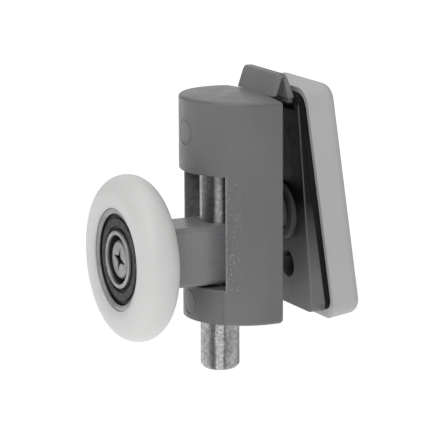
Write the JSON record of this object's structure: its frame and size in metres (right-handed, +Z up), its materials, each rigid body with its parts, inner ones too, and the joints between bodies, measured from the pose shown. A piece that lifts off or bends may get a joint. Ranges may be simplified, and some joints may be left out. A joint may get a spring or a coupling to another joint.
{
  "type": "sliding door roller",
  "caption": "Spring-loaded lower roller for a sliding shower door: crowned wheel on a carrier pinned to a sprung push rod in a slotted housing, with a wedge glass clamp.",
  "frame": {"origin": "on the push rod's axis, at the underside of the housing where the rod comes out", "axes": "+Z up along the push rod; +Y from the rod towards the glass clamp, so the wheel's axle points along -Y; X across the housing"},
  "size_m": [0.0254, 0.0384, 0.0459],
  "materials": {
    "grey_nylon": "fine moulded satin",
    "carrier_nylon": "satin",
    "cover_plastic": "smooth satin",
    "white_nylon": "polished running surface",
    "zinc_steel": "zinc plated, drawn and mottled",
    "bearing_steel": "ground and polished",
    "screw_steel": "nickel plated",
    "spring_steel": "drawn wire",
    "brass": "turned",
    "seal_rubber": "matt",
    "black_rubber": "matt",
    "bush_nylon": "satin"
  },
  "bodies": {
    "mount": {"housing": "grey_nylon", "guide_bush": "bush_nylon", "return_spring": "spring_steel", "bracket": "grey_nylon", "clamp_insert": "brass", "gasket": "black_rubber", "glass_bush": "bush_nylon", "tab_root": "grey_nylon"},
    "plunger": {"push_rod": "zinc_steel", "wheel_carrier": "carrier_nylon", "carrier_pin": "zinc_steel", "axle_insert": "brass", "axle_sleeve": "bearing_steel", "axle_screw": "screw_steel", "bearing_inner_ring": "bearing_steel"},
    "wheel": {"tyre": "white_nylon", "bearing_outer_ring": "bearing_steel", "bearing_seal_front": "seal_rubber", "bearing_seal_rear": "seal_rubber"},
    "ball_set": {"bearing_balls": "bearing_steel", "bearing_cage": "spring_steel"},
    "clamp_cover": {"cover": "cover_plastic", "cover_pad": "black_rubber", "clamp_screw": "screw_steel", "cover_plug": "cover_plastic"},
    "latch_tab": {"tab_leaf": "grey_nylon"}
  },
  "joints": [
    {"name": "plunger_lift", "type": "slide", "parent": "mount", "child": "plunger", "axis": [0, 0, 1], "range_m": [0, 0.007], "stiffness_N_per_m": 800, "springref_m": -0.005, "deforming": ["return_spring"]},
    {"name": "wheel_spin", "type": "hinge", "parent": "plunger", "child": "wheel", "pos_m": [0, -0.0147, 0.0104], "axis": [0, -1, 0], "continuous": true},
    {"name": "ball_set_turn", "type": "hinge", "parent": "plunger", "child": "ball_set", "pos_m": [0, -0.0147, 0.0104], "axis": [0, -1, 0], "continuous": true},
    {"name": "cover_open", "type": "slide", "parent": "mount", "child": "clamp_cover", "axis": [0, 0.9903, 0.1392], "range_m": [0, 0.006]},
    {"name": "tab_flex", "type": "hinge", "parent": "mount", "child": "latch_tab", "pos_m": [0, 0.0075, 0.0373], "axis": [1, 0, 0], "range_deg": [0, 12], "stiffness_Nm_per_rad": 0.02}
  ],
  "couplings": [
    {"joint": "ball_set_turn", "follows": "wheel_spin", "ratio": 0.6333}
  ]
}
